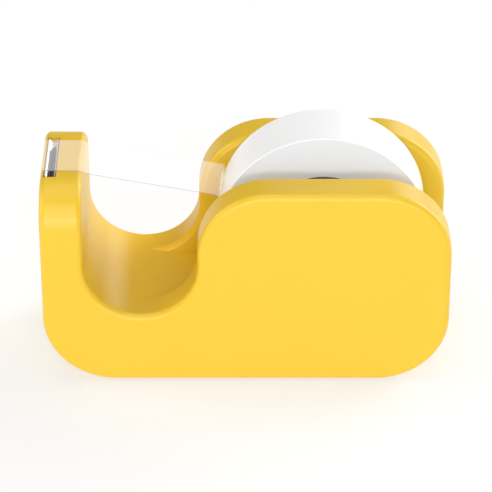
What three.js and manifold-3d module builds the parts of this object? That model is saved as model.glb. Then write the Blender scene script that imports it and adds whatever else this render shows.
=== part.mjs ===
// Desk tape dispenser: a one-piece shell with a scoop in front of its roll bay, a ballasted base,
// a saw-edged cutter on the arm, and a roll of clear tape on a drop-in axle.
// Millimetres, +Z up. X runs along the body with the cutter at -X, and the open front face looks to -Y.
// The origin is on the resting plane, under the middle of the body.
import * as THREE from "three";
import { mergeVertices } from "three/addons/utils/BufferGeometryUtils.js";
import Module from "manifold-3d";

const wasm = await Module();
wasm.setup();

// ---- driving dimensions -------------------------------------------------------------------------
const BODY_LENGTH = 127.2;
const BODY_WIDTH = 50.4;
const BODY_HEIGHT = 67.8; // underside of the shell to the top of the hump
const BASE_CORNER_RADIUS = 22.5;
const HUMP_CORNER_RADIUS = 22.5;
const EDGE_FILLET = 2.0;
const WALL = 2.2;
const BAY_FILLET = 2.0; // on the inner edges of the bay's two walls
const CHANNEL_START = 0.5; // the bay starts this far beyond the scoop's centre

const ARM_THICKNESS = 13.1;
const ARM_DROP = 0.3; // the arm's platform is this much lower than the hump
const SHOULDER_RADIUS = 13.2; // round front and back of the arm's top
const SCOOP_RADIUS = 17.7;
const SCOOP_CENTRE_HEIGHT = 41.9; // above the underside of the shell

const TAPE_WIDTH = 19;
const ROLL_RADIUS = 32.4;
const ROLL_UNDERSIDE = 14.1; // lowest point of the roll above the underside of the shell
const ROLL_FROM_HUMP = 39.2; // hump's left face to the roll's axis
const CORE_RADIUS = 19;
const CORE_WALL = 2.4;
const CORE_INSET = 0.5; // the core is this much shorter than the film at each side
const BAY_SIDE_GAP = 3.7; // roll's side to the bay's wall
const WELL_GAP = 1.6; // roll to the round bottom of its well

const FILM_THICKNESS = 0.15;
const FILM_GAP = 0.15;
const CREASE_RISE = 12.4; // the film turns away from the roll this high above the axis
const CREASE_REACH = 1.2; // length of the turn along each leg
const FILM_BEND = 2.4; // each way from the arm's inner face
const FILM_BEND_DROP = 1.3;
const FILM_BEND_EASE = 0.8; // of the bend, how far its curve keeps to its legs
const FREE_END = 0.2; // free end to the body's left face

const AXLE_RADIUS = 3.2;
const AXLE_END_GAP = 0.4;
const SADDLE_RADIUS = 7.2;
const SADDLE_RISE = 5.5; // saddle's arms above the axle's centre
const SADDLE_ROLL_GAP = 0.7;
const SADDLE_ROOT = 0.2; // the saddle reaches this far into the wall that it stands on
const HUB_WALL = 1.6;

const SEAT_RIM = 1.1; // left face to the cutter's seat
const SEAT_WIDTH = 3.9;
const SEAT_DEPTH = 2.0;
const SEAT_FRONT = 3.4; // seat beyond the film's front edge
const SEAT_REAR = 2.3; // seat beyond the film's rear edge
const BLADE_THICKNESS = 0.35;
const BLADE_LEAN = 1.1; // the toothed leg leans outwards by this much
const TOOTH_PITCH = 1.0;
const TOOTH_DEPTH = 0.6;
const TOOTH_FLAT = 0.06; // flat left at the tip of each tooth
const HEEL_DROP = 0.6; // platform to the top of the blade's short leg
const RETAINER_WIDTH = 1.25;
const RETAINER_LENGTH = 18.8; // from the blade's front end
const RETAINER_SLANT = 1.1; // its rear end is cut at a slant
const RETAINER_DROP = 0.5; // platform to the top of the retainer

const PAD_THICKNESS = 1.2;
const PAD_PROUD = 0.6; // pad below the shell
const PLATE_THICKNESS = 2.4;
const BASE_SETBACK = 1.5; // base opening to the start of the body's round corners
const OPENING_CORNER = 4;
const BOSS_RADIUS = 3.4;
const BOSS_EDGE = 5.5; // boss centre to the edges of the base opening
const BALLAST_HALF_WIDTH = 17.5;
const BALLAST_CORNER = 1.5;
const BALLAST_SCREW_X = 9;
const FRONT_BALLAST_STEP = 1; // the upper block starts this far in from the lower block's end
const FRONT_SCREW_IN = 6; // upper block's end to its screw
const FRONT_SCREW_BITE = 1.5; // its screw reaches this far into the lower block
const SCREW_SHANK = 1.25;
const SCREW_LENGTH = 9;
const BALLAST_SHANK = 1.9;
const RECESS_DEPTH = 0.55; // of the screw head's height
const RECESS_REACH = 0.6; // of the screw head's radius
const RECESS_HALF_WIDTH = 0.3;

const GAP = 0.3; // between pieces that lie against each other
const FIT = 0.5; // between a loose piece and the recess that holds it
const OVERLAP = 1; // of solids that are joined or cut, past the face where they meet

// ---- derived places -----------------------------------------------------------------------------
const shellBase = PAD_PROUD;
const shellTop = shellBase + BODY_HEIGHT;
const halfLength = BODY_LENGTH / 2;
const halfWidth = BODY_WIDTH / 2;
const platformZ = shellTop - ARM_DROP;
const armInnerX = -halfLength + ARM_THICKNESS;
const scoopX = armInnerX + SCOOP_RADIUS;
const scoopZ = shellBase + SCOOP_CENTRE_HEIGHT;
const humpX = scoopX + SCOOP_RADIUS;
const floorZ = scoopZ - SCOOP_RADIUS;
const armJoinZ = platformZ - SHOULDER_RADIUS - EDGE_FILLET;

const tapeHalf = TAPE_WIDTH / 2;
const bayHalf = tapeHalf + BAY_SIDE_GAP;
const rollX = humpX + ROLL_FROM_HUMP;
const rollZ = shellBase + ROLL_UNDERSIDE + ROLL_RADIUS;
const wellRadius = ROLL_RADIUS + WELL_GAP;
const saddleFaceY = tapeHalf + SADDLE_ROLL_GAP;

const baseHalfLength = halfLength - BASE_CORNER_RADIUS - BASE_SETBACK;
const baseHalfWidth = halfWidth - EDGE_FILLET - WALL;
const plateZ = PAD_THICKNESS + GAP;
const plateTop = plateZ + PLATE_THICKNESS;
const bossX = baseHalfLength - BOSS_EDGE;
const bossY = baseHalfWidth - BOSS_EDGE;
const ballastZ = plateTop + GAP;
const ballastTop = rollZ - wellRadius - WALL - FIT;
const ballastHalfLength = bossX - BOSS_RADIUS - 2 * FIT;
const ballastHalf = Math.min(BALLAST_HALF_WIDTH, baseHalfWidth - FIT);

// ---- solids from geometry -----------------------------------------------------------------------

/** A manifold-3d solid from a closed three.js geometry. */
function solidOf(geometry) {
  const bare = new THREE.BufferGeometry();
  bare.setAttribute("position", geometry.getAttribute("position"));
  if (geometry.index) bare.setIndex(geometry.index);
  const merged = mergeVertices(bare, 1e-4);
  return new wasm.Manifold(
    new wasm.Mesh({
      numProp: 3,
      vertProperties: merged.attributes.position.array,
      triVerts: new Uint32Array(merged.index.array),
    }),
  );
}

/** A flat-shaded three.js geometry from a manifold-3d solid. */
function geometryOf(solid) {
  const mesh = solid.getMesh();
  const geometry = new THREE.BufferGeometry();
  geometry.setAttribute("position", new THREE.BufferAttribute(mesh.vertProperties, 3));
  geometry.setIndex(new THREE.BufferAttribute(mesh.triVerts, 1));
  const flat = geometry.toNonIndexed();
  flat.computeVertexNormals();
  return flat;
}

/** Points of an arc, both ends included; angles in degrees. */
function arc(cx, cy, radius, from, to, steps) {
  return Array.from({ length: steps + 1 }, (_, i) => {
    const a = THREE.MathUtils.degToRad(from + ((to - from) * i) / steps);
    return new THREE.Vector2(cx + radius * Math.cos(a), cy + radius * Math.sin(a));
  });
}

// Where an outline point (u, v) at a distance t along the stack lies in space.
const alongY = (p, t) => [p.x, t, p.y];
const alongX = (p, t) => [t, -p.x, p.y];
const alongZ = (p, t) => [p.x, -p.y, t];

/** A solid skinned over sections { at, points } of equal count, anticlockwise, in rising order. */
function stack(sections, place) {
  const n = sections[0].points.length;
  const vertices = sections.flatMap(({ at, points }) => points.flatMap((p) => place(p, at)));
  const faces = [];
  for (let s = 0; s + 1 < sections.length; s++) {
    for (let i = 0; i < n; i++) {
      const a = s * n + i;
      const b = s * n + ((i + 1) % n);
      faces.push(a, a + n, b + n, a, b + n, b);
    }
  }
  const last = (sections.length - 1) * n;
  for (const [a, b, c] of THREE.ShapeUtils.triangulateShape(sections[0].points, [])) {
    faces.push(a, b, c);
  }
  for (const [a, b, c] of THREE.ShapeUtils.triangulateShape(sections.at(-1).points, [])) {
    faces.push(last + a, last + c, last + b);
  }
  const geometry = new THREE.BufferGeometry();
  geometry.setAttribute("position", new THREE.Float32BufferAttribute(vertices, 3));
  geometry.setIndex(faces);
  return solidOf(geometry);
}

/** Stations across a block whose two ends are filleted: the outline shrinks by inset towards them. */
function filletStations(from, to, radius, steps) {
  const rise = Array.from({ length: steps + 1 }, (_, i) => {
    const a = (i / steps) * (Math.PI / 2);
    return { offset: radius * (1 - Math.cos(a)), inset: radius * (1 - Math.sin(a)) };
  });
  return [
    ...rise.map(({ offset, inset }) => ({ at: from + offset, inset })),
    ...rise.toReversed().map(({ offset, inset }) => ({ at: to - offset, inset })),
  ];
}

function box(x0, x1, y0, y1, z0, z1) {
  const geometry = new THREE.BoxGeometry(x1 - x0, y1 - y0, z1 - z0);
  geometry.translate((x0 + x1) / 2, (y0 + y1) / 2, (z0 + z1) / 2);
  return solidOf(geometry);
}

/** A cylinder along Y. */
function barrel(x, z, radius, y0, y1, sides = 48) {
  const geometry = new THREE.CylinderGeometry(radius, radius, y1 - y0, sides);
  geometry.translate(x, (y0 + y1) / 2, z);
  return solidOf(geometry);
}

/** A cylinder along Z. */
function post(x, y, radius, z0, z1, sides = 20) {
  const geometry = new THREE.CylinderGeometry(radius, radius, z1 - z0, sides);
  geometry.rotateX(Math.PI / 2);
  geometry.translate(x, y, (z0 + z1) / 2);
  return solidOf(geometry);
}

/** A ring turned round the roll's axis from a closed profile of [radius, y], anticlockwise. */
function turned(profile, segments = 64) {
  const points = [...profile, profile[0]].map(([radius, y]) => new THREE.Vector2(radius, y));
  const geometry = new THREE.LatheGeometry(points, segments);
  geometry.translate(rollX, 0, rollZ);
  return solidOf(geometry);
}

const tube = (inner, outer, y0, y1, segments) =>
  turned([[inner, y0], [outer, y0], [outer, y1], [inner, y1]], segments);

function roundedRect(halfX, halfY, radius, steps = 5) {
  return [
    ...arc(-halfX + radius, -halfY + radius, radius, 180, 270, steps),
    ...arc(halfX - radius, -halfY + radius, radius, 270, 360, steps),
    ...arc(halfX - radius, halfY - radius, radius, 0, 90, steps),
    ...arc(-halfX + radius, halfY - radius, radius, 90, 180, steps),
  ];
}

function plate(halfX, halfY, radius, z0, z1) {
  const points = roundedRect(halfX, halfY, radius);
  return stack([{ at: z0, points }, { at: z1, points }], alongZ);
}

// ---- body shell ---------------------------------------------------------------------------------

/** The body's side outline in X and Z, moved into the material by inset; the arm stops at armZ. */
function bodyOutline(inset, armZ) {
  const left = -halfLength + inset;
  const right = halfLength - inset;
  const low = shellBase + inset;
  const high = shellTop - inset;
  const base = BASE_CORNER_RADIUS - inset;
  const hump = HUMP_CORNER_RADIUS - inset;
  return [
    ...arc(left + base, low + base, base, 180, 270, 10),
    ...arc(right - base, low + base, base, 270, 360, 10),
    ...arc(right - hump, high - hump, hump, 0, 90, 10),
    ...arc(humpX + inset + hump, high - hump, hump, 90, 180, 10),
    ...arc(scoopX, scoopZ, SCOOP_RADIUS + inset, 360, 180, 20),
    new THREE.Vector2(armInnerX - inset, armZ),
    new THREE.Vector2(left, armZ),
  ];
}

/** The arm's front-to-back outline, with its two round shoulders, from lowZ up to topZ. */
function armOutline(inset, lowZ, topZ) {
  const half = halfWidth - inset;
  const radius = SHOULDER_RADIUS - inset;
  return [
    new THREE.Vector2(-half, lowZ),
    new THREE.Vector2(half, lowZ),
    ...arc(half - radius, topZ - inset - radius, radius, 0, 90, 10),
    ...arc(-half + radius, topZ - inset - radius, radius, 90, 180, 10),
  ];
}

/** The whole outside of the body, with every outer edge filleted. */
function bodyOutside() {
  const body = stack(
    filletStations(-halfWidth, halfWidth, EDGE_FILLET, 4).map(({ at, inset }) => ({
      at,
      points: bodyOutline(inset, armJoinZ),
    })),
    alongY,
  );
  const arm = stack(
    filletStations(-halfLength, armInnerX, EDGE_FILLET, 4).map(({ at, inset }) => ({
      at,
      points: armOutline(inset, armJoinZ - OVERLAP, platformZ),
    })),
    alongX,
  );
  return body.add(arm);
}

/** A channel along X, open above, at the scoop and at the right end. */
const channel = (half, low) =>
  box(scoopX + CHANNEL_START, halfLength + OVERLAP, -half, half, low, shellTop + OVERLAP);

/** The room round the roll: a channel with a round well, grown by margin. */
function bay(margin) {
  const half = bayHalf + margin;
  return channel(half, floorZ - margin).add(
    barrel(rollX, rollZ, wellRadius + margin, -half, half, 72),
  );
}

/** What the bay takes out of the body, with the inner edges of its two walls filleted. */
function bayCut() {
  let edges = channel(bayHalf + BAY_FILLET, floorZ);
  for (const [y0, y1] of [[-halfWidth, -bayHalf], [bayHalf, halfWidth]]) {
    const wall = filletStations(y0, y1, BAY_FILLET, 4).map(({ at, inset }) => ({
      at,
      points: bodyOutline(inset, armJoinZ),
    }));
    edges = edges.subtract(stack(wall, alongY));
  }
  return edges.add(bay(0));
}

/** The hollow inside the shell, open at the base opening. */
function cavity() {
  const inside = halfWidth - WALL;
  const side = [-inside, inside].map((at) => ({ at, points: bodyOutline(WALL, armJoinZ) }));
  const armSides = [-halfLength + WALL, armInnerX - WALL].map((at) => ({
    at,
    points: armOutline(WALL, armJoinZ - OVERLAP, platformZ - SEAT_DEPTH),
  }));
  let hollow = stack(side, alongY).add(stack(armSides, alongX)).subtract(bay(WALL));
  for (const [x, y] of bossPlaces()) {
    hollow = hollow.subtract(post(x, y, BOSS_RADIUS, plateTop + GAP, floorZ));
  }
  return hollow;
}

const bossPlaces = () => [
  [-bossX, -bossY],
  [bossX, -bossY],
  [-bossX, bossY],
  [bossX, bossY],
];

/** One U-shaped saddle on the bay's wall; side is -1 at the front and +1 at the back. */
function saddle(side) {
  const [y0, y1] = [saddleFaceY, bayHalf + SADDLE_ROOT].map((y) => y * side).sort((a, b) => a - b);
  const slot = AXLE_RADIUS + GAP;
  const top = rollZ + SADDLE_RISE;
  return barrel(rollX, rollZ, SADDLE_RADIUS, y0, y1, 32)
    .add(box(rollX - SADDLE_RADIUS, rollX + SADDLE_RADIUS, y0, y1, rollZ, top))
    .subtract(box(rollX - slot, rollX + slot, y0 - OVERLAP, y1 + OVERLAP, rollZ, top + OVERLAP))
    .subtract(barrel(rollX, rollZ, slot, y0 - OVERLAP, y1 + OVERLAP, 24));
}

const seatX = -halfLength + SEAT_RIM;
const seatFrontY = -tapeHalf - SEAT_FRONT;
const seatRearY = tapeHalf + SEAT_REAR;
const seatZ = platformZ - SEAT_DEPTH;

function bodyShell() {
  const opening = plate(
    baseHalfLength,
    baseHalfWidth,
    OPENING_CORNER,
    shellBase - OVERLAP,
    shellBase + WALL + OVERLAP,
  );
  let shell = bodyOutside().subtract(bayCut()).subtract(cavity());
  shell = shell.add(saddle(-1)).add(saddle(1));
  shell = shell.subtract(opening);
  shell = shell.subtract(
    box(seatX, seatX + SEAT_WIDTH, seatFrontY, seatRearY, seatZ, platformZ + OVERLAP),
  );
  for (const [x, y] of bossPlaces()) {
    const holeTop = plateTop + SCREW_LENGTH;
    shell = shell.subtract(post(x, y, SCREW_SHANK + GAP, plateTop - OVERLAP, holeTop, 16));
  }
  return shell;
}

// ---- base, ballast and screws -------------------------------------------------------------------

const baseScrew = { head: 2.4, headHeight: 1.3, shank: SCREW_SHANK, length: SCREW_LENGTH };
const ballastScrew = { head: 3.4, headHeight: 1.3, shank: BALLAST_SHANK, length: 4.2 };

/** A pan screw with a cross recess, head down at z, its shank rising; up = -1 turns it over. */
function screw(x, y, z, { head, headHeight, shank, length }, up = 1) {
  const depth = headHeight * RECESS_DEPTH;
  const reach = head * RECESS_REACH;
  const half = RECESS_HALF_WIDTH;
  const span = (a, b) => (up > 0 ? [z + a, z + b] : [z - b, z - a]);
  return post(x, y, head, ...span(0, headHeight), 24)
    .add(post(x, y, shank, ...span(headHeight / 2, headHeight + length), 16))
    .subtract(box(x - reach, x + reach, y - half, y + half, ...span(-OVERLAP, depth)))
    .subtract(box(x - half, x + half, y - reach, y + reach, ...span(-OVERLAP, depth)));
}

/** Cuts a stepped screw hole: a counterbore from z upwards, then the shank's clearance. */
function screwHole(x, y, z, { head, headHeight, shank, length }, up = 1) {
  const span = (a, b) => (up > 0 ? [z + a, z + b] : [z - b, z - a]);
  return post(x, y, head + GAP, ...span(-OVERLAP, headHeight + GAP), 24).add(
    post(x, y, shank + GAP, ...span(0, headHeight + length + 2 * GAP), 16),
  );
}

const headInset = 0.2; // screw heads below the face they are driven from
const ballastScrewPlaces = [
  [-BALLAST_SCREW_X, 0],
  [BALLAST_SCREW_X, 0],
];

function basePlate() {
  let made = plate(
    baseHalfLength - FIT,
    baseHalfWidth - FIT,
    OPENING_CORNER - FIT,
    plateZ,
    plateTop,
  );
  for (const [x, y] of bossPlaces()) made = made.subtract(screwHole(x, y, plateZ, baseScrew));
  for (const [x, y] of ballastScrewPlaces) {
    made = made.subtract(screwHole(x, y, plateZ, ballastScrew));
  }
  return made;
}

function nonslipPad() {
  const edge = 2 * FIT;
  const corner = OPENING_CORNER - edge;
  return plate(baseHalfLength - edge, baseHalfWidth - edge, corner, 0, PAD_THICKNESS);
}

const frontBallastTop = floorZ - WALL - FIT;
const frontBallastZ = ballastTop + GAP;
const wellReach = wellRadius + WALL + FIT;
const frontBallastX1 = rollX - Math.sqrt(wellReach ** 2 - (rollZ - frontBallastTop) ** 2) - FIT;
const frontBallastX0 = -ballastHalfLength + FRONT_BALLAST_STEP;
const frontScrewX = frontBallastX0 + FRONT_SCREW_IN;
const frontScrewZ = frontBallastTop - headInset;
const frontScrewLength = frontBallastTop - frontBallastZ + FRONT_SCREW_BITE;
const frontScrew = { ...ballastScrew, length: frontScrewLength };

function ballastMain() {
  let made = plate(ballastHalfLength, ballastHalf, BALLAST_CORNER, ballastZ, ballastTop);
  for (const [x, y] of ballastScrewPlaces) {
    made = made.subtract(screwHole(x, y, plateZ + headInset, ballastScrew));
  }
  return made.subtract(screwHole(frontScrewX, 0, frontScrewZ, frontScrew, -1));
}

function ballastFront() {
  const block = box(
    frontBallastX0,
    frontBallastX1,
    -ballastHalf + WALL,
    ballastHalf - WALL,
    frontBallastZ,
    frontBallastTop,
  );
  return block.subtract(screwHole(frontScrewX, 0, frontScrewZ, frontScrew, -1));
}

// ---- cutter -------------------------------------------------------------------------------------

const bladeFootZ = seatZ + GAP;
const bladeX0 = seatX + GAP;
const bladeX1 = seatX + SEAT_WIDTH - GAP;
const bladeFrontY = seatFrontY + FIT;
const bladeRearY = seatRearY - FIT;
const bladeTipZ = platformZ + FILM_GAP / 2;

/** A U-shaped steel strip: a leaning toothed leg, a flat foot, and a short leg behind. */
function cutterBlade() {
  const t = BLADE_THICKNESS;
  const footX = bladeX0 + BLADE_LEAN;
  const profile = [
    [footX, bladeFootZ],
    [bladeX1, bladeFootZ],
    [bladeX1, platformZ - HEEL_DROP],
    [bladeX1 - t, platformZ - HEEL_DROP],
    [bladeX1 - t, bladeFootZ + t],
    [footX + t, bladeFootZ + t],
    [bladeX0 + t, bladeTipZ],
    [bladeX0, bladeTipZ],
  ].map(([x, z]) => new THREE.Vector2(x, z));
  let blade = stack([bladeFrontY, bladeRearY].map((at) => ({ at, points: profile })), alongY);
  const pitches = Math.floor((bladeRearY - bladeFrontY) / TOOTH_PITCH);
  const middle = (bladeRearY + bladeFrontY) / 2;
  for (let i = 0; i < pitches; i++) {
    blade = blade.subtract(toothNotch((i - (pitches - 1) / 2) * TOOTH_PITCH - middle));
  }
  return blade;
}

/** The V between two teeth, cut through the tip of the leaning leg. */
function toothNotch(y) {
  const reach = TOOTH_PITCH - TOOTH_FLAT;
  const points = [
    new THREE.Vector2(y, bladeTipZ - TOOTH_DEPTH),
    new THREE.Vector2(y + reach, bladeTipZ + TOOTH_DEPTH),
    new THREE.Vector2(y - reach, bladeTipZ + TOOTH_DEPTH),
  ];
  const ends = [bladeX0 - OVERLAP, bladeX0 + BLADE_LEAN + OVERLAP];
  return stack(ends.map((at) => ({ at, points })), alongX);
}

/** A plastic bar that lies on the blade's foot; the film is pressed on it before it is torn. */
function bladeRetainer() {
  const x1 = bladeX1 - BLADE_THICKNESS - GAP;
  const x0 = x1 - RETAINER_WIDTH;
  const rearY = bladeFrontY + RETAINER_LENGTH;
  const points = [
    [x0, RETAINER_SLANT - rearY],
    [x1, -rearY],
    [x1, -bladeFrontY],
    [x0, -bladeFrontY],
  ].map(([u, v]) => new THREE.Vector2(u, v));
  const z0 = bladeFootZ + BLADE_THICKNESS + GAP;
  return stack([z0, platformZ - RETAINER_DROP].map((at) => ({ at, points })), alongZ);
}

// ---- reel ---------------------------------------------------------------------------------------

function axlePin() {
  const half = bayHalf - AXLE_END_GAP;
  return barrel(rollX, rollZ, AXLE_RADIUS, -half, half, 32);
}

/** A hub half: a bearing tube on the pin, an outer sleeve in the core, and a web near the outside. */
function hubHalf(side) {
  const bore = AXLE_RADIUS + GAP;
  const sleeve = CORE_RADIUS - CORE_WALL - GAP;
  const face = tapeHalf - CORE_INSET;
  const web = face - 2 * HUB_WALL;
  const profile = [
    [bore, GAP / 2],
    [bore + HUB_WALL, GAP / 2],
    [bore + HUB_WALL, web],
    [sleeve - HUB_WALL, web],
    [sleeve - HUB_WALL, GAP / 2],
    [sleeve, GAP / 2],
    [sleeve, face],
    [sleeve - HUB_WALL, face],
    [sleeve - HUB_WALL, web + HUB_WALL],
    [bore + HUB_WALL, web + HUB_WALL],
    [bore + HUB_WALL, face],
    [bore, face],
  ];
  const mirrored = profile.map(([radius, y]) => [radius, -y]).toReversed();
  return turned(side > 0 ? profile : mirrored, 40);
}

const tapeCore = () =>
  tube(CORE_RADIUS - CORE_WALL, CORE_RADIUS, -tapeHalf + CORE_INSET, tapeHalf - CORE_INSET, 56);

const tapeRoll = () => tube(CORE_RADIUS + GAP, ROLL_RADIUS, -tapeHalf, tapeHalf, 72);

// ---- film ---------------------------------------------------------------------------------------

const filmZ = platformZ + FILM_GAP;
const bendX0 = armInnerX - FILM_BEND;
const bendX1 = armInnerX + FILM_BEND;

/** A strip of film as wide as the tape, whose underside follows a line that starts towards +X. */
function filmStrip(line) {
  const over = line.map((point, i) => {
    const before = line[Math.max(i - 1, 0)];
    const ahead = line[Math.min(i + 1, line.length - 1)].clone().sub(before).normalize();
    return new THREE.Vector2(-ahead.y, ahead.x).multiplyScalar(FILM_THICKNESS).add(point);
  });
  const points = [...line, ...over.toReversed()];
  return stack([-tapeHalf, tapeHalf].map((at) => ({ at, points })), alongY);
}

/** Over the platform to the free end, just past the cutter. */
const tapeEnd = () =>
  filmStrip([
    new THREE.Vector2(-halfLength + FREE_END, filmZ),
    new THREE.Vector2(bendX0 - GAP, filmZ),
  ]);

/** A smooth turn at a corner of the film's line, from its leg before to its leg after. */
function turn(before, corner, after, reach, steps) {
  const start = before.clone().sub(corner).setLength(reach).add(corner);
  const end = after.clone().sub(corner).setLength(reach).add(corner);
  return new THREE.QuadraticBezierCurve(start, corner, end).getPoints(steps);
}

/** Eased over the platform's edge, straight to the roll's left side, and down on to the roll. */
function tapeSpan() {
  const side = rollX - ROLL_RADIUS - GAP - FILM_THICKNESS;
  const crease = new THREE.Vector2(side, rollZ + CREASE_RISE);
  const onRoll = new THREE.Vector2(side, rollZ);
  const start = new THREE.Vector2(bendX0, filmZ);
  const low = new THREE.Vector2(bendX1, filmZ - FILM_BEND_DROP);
  const slope = (crease.y - low.y) / (crease.x - low.x);
  const handle = FILM_BEND * 0.8;
  const bend = new THREE.CubicBezierCurve(
    start,
    new THREE.Vector2(start.x + handle, start.y),
    new THREE.Vector2(low.x - handle, low.y - slope * handle),
    low,
  );
  return filmStrip([...bend.getPoints(8), ...turn(low, crease, onRoll, CREASE_REACH, 5), onRoll]);
}

// ---- materials and assembly ---------------------------------------------------------------------

const finish = (color, roughness, metalness = 0, extra = {}) =>
  new THREE.MeshStandardMaterial({ color, roughness, metalness, ...extra });

const yellowPlastic = finish(0xf5c22e, 0.35);
const greyPlastic = finish(0x4a4c4f, 0.55);
const blackPlastic = finish(0x17181a, 0.4);
const foam = finish(0x26272a, 0.95);
const castSteel = finish(0x6e7072, 0.6, 1);
const zincSteel = finish(0xb9bcbf, 0.35, 1);
const stainless = finish(0xd8dadc, 0.25, 1);
const naturalNylon = finish(0xe4e2da, 0.45);
const coreBoard = finish(0x8f8672, 0.9);
const rolledFilm = finish(0xf4f5f4, 0.3);
const clearFilm = finish(0xf6f6f2, 0.2, 0, { transparent: true, opacity: 0.4 });

const group = new THREE.Group();

function add(name, solid, material) {
  const mesh = new THREE.Mesh(geometryOf(solid), material.clone());
  mesh.name = name;
  group.add(mesh);
}

add("body_shell", bodyShell(), yellowPlastic);
add("base_plate", basePlate(), greyPlastic);
add("nonslip_pad", nonslipPad(), foam);
add("ballast_main", ballastMain(), castSteel);
add("ballast_front", ballastFront(), castSteel);
bossPlaces().forEach(([x, y], i) => {
  add(`base_screw_${i + 1}`, screw(x, y, plateZ + headInset, baseScrew), zincSteel);
});
ballastScrewPlaces.forEach(([x, y], i) => {
  add(`ballast_screw_${i + 1}`, screw(x, y, plateZ + headInset, ballastScrew), zincSteel);
});
add("ballast_screw_3", screw(frontScrewX, 0, frontScrewZ, frontScrew, -1), zincSteel);
add("cutter_blade", cutterBlade(), stainless);
add("blade_retainer", bladeRetainer(), blackPlastic);
add("axle_pin", axlePin(), zincSteel);
add("hub_front", hubHalf(-1), naturalNylon);
add("hub_rear", hubHalf(1), naturalNylon);
add("tape_core", tapeCore(), coreBoard);
add("tape_roll", tapeRoll(), rolledFilm);
add("tape_span", tapeSpan(), clearFilm);
add("tape_end", tapeEnd(), clearFilm);

export default group;
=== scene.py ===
"""The looks of a desk tape dispenser: yellow moulded body, clear tape on its roll, steel cutter.

Metres, +Z up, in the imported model's frame: X along the body with the cutter at -X, front at -Y.
"""
import math

import bmesh
import bpy
import numpy as np
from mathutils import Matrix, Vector


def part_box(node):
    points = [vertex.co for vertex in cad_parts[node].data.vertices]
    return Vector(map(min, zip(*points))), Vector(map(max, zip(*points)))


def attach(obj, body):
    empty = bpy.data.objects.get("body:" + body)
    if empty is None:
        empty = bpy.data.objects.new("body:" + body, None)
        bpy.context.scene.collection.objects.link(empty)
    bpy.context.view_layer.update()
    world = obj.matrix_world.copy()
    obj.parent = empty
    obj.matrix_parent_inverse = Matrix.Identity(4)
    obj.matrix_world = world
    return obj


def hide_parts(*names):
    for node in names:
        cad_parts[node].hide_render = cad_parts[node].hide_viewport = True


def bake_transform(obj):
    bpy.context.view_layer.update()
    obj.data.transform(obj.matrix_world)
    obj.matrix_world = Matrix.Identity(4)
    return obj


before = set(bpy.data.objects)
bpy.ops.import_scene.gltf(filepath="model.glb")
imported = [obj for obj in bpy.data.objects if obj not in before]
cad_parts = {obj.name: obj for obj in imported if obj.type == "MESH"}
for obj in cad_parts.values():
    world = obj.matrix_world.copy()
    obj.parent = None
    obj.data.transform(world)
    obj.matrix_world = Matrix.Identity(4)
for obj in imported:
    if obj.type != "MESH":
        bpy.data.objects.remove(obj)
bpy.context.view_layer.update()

# ---- sizes --------------------------------------------------------------------------------------
MM = 0.001

# the body
BASE_CORNER = 22.5 * MM
HUMP_CORNER = 22.5 * MM
EDGE_FILLET = 2.0 * MM
ARM_THICKNESS = 13.1 * MM
ARM_DROP = 0.3 * MM  # the arm's top lies this far under the hump's
SHOULDER = 13.2 * MM
SCOOP = 17.7 * MM  # radius
SCOOP_HEIGHT = 41.9 * MM  # of its centre
INNER_EDGE = 0.7 * MM  # round on the sharp edges left in the bay and on the cutter's seat
RECESS_GAP = 0.5 * MM  # round the base plate
RECESS_HEADROOM = 1 * MM  # over the base plate
CUT_PAST = 5 * MM  # how far a cutting block runs past the surface
OVERLAP = 1 * MM  # of the arm's block with the body's

# the bay beside and under the roll, and the saddles of the axle
BAY_SIDE_GAP = 3.7 * MM
BAY_FILLET = 2.0 * MM
CHANNEL_START = 0.5 * MM  # right of the scoop's centre
WELL_GAP = 1.6 * MM
SADDLE = 7.2 * MM  # radius
SADDLE_RISE = 5.5 * MM
SADDLE_ROLL_GAP = 0.7 * MM
SADDLE_ROOT = 0.2 * MM  # sunk in the bay's wall
GAP = 0.3 * MM  # round the pin and the hub

# the cutter's seat, the cutter, and the bar that holds it
SEAT_RIM = 1.1 * MM
SEAT_WIDTH = 3.9 * MM
SEAT_DEPTH = 2.0 * MM
SEAT_FRONT = 3.4 * MM
SEAT_REAR = 2.3 * MM
STRIP = 0.3 * MM  # thickness
TOOTH_LEAN = 1.25 * MM
TOOTH_PITCH = 1.0 * MM
TOOTH_DEPTH = 0.6 * MM
TOOTH_TIP = 0.7  # of the strip's thickness
HEEL_DROP = 0.35 * MM
RETAINER_SLANT = 1.1 * MM
RETAINER_ROUND = 0.25 * MM
RETAINER_PROUD = 0.25 * MM
RETAINER_LEFT = 0.05 * MM
RETAINER_RIGHT = 0.1 * MM

# the roll, its core, hub and pin
ROLL_RIM = 0.25 * MM
ROLL_DISH = 0.05 * MM  # how far the layers stand unevenly
LAYER_WAVES = 9000, 2310  # radians in a metre
CORE_FIT = 0.02 * MM
CORE_WALL = 2.4 * MM
CORE_CORNER = 0.2 * MM
HUB_WALL = 1.6 * MM
HUB_CORNER = 0.3 * MM
PIN_CHAMFER = 0.5 * MM

# the film
FILM_THICK = 0.14 * MM
FILM_BEND = 2.4 * MM  # each way from the arm's edge
FILM_BEND_DROP = 1.3 * MM
BEND_EASE = 0.8  # of the bend, how far its curve keeps to its legs
CREASE_RISE = 12.4 * MM  # over the axle
CREASE_REACH = 1.6 * MM
CREASE_EASE = 0.4  # of the reach
FILM_ON_ROLL = 0.25 * MM
PEEL_SKEW = 16  # degrees, from the front edge to the rear one
WRAP_END = -6  # degrees

# the underside
PLATE_CORNER = 3.5 * MM
PLATE_ROUND = 0.4 * MM
PAD_CORNER = 3.2 * MM
PAD_ROUND = 0.15 * MM

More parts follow.
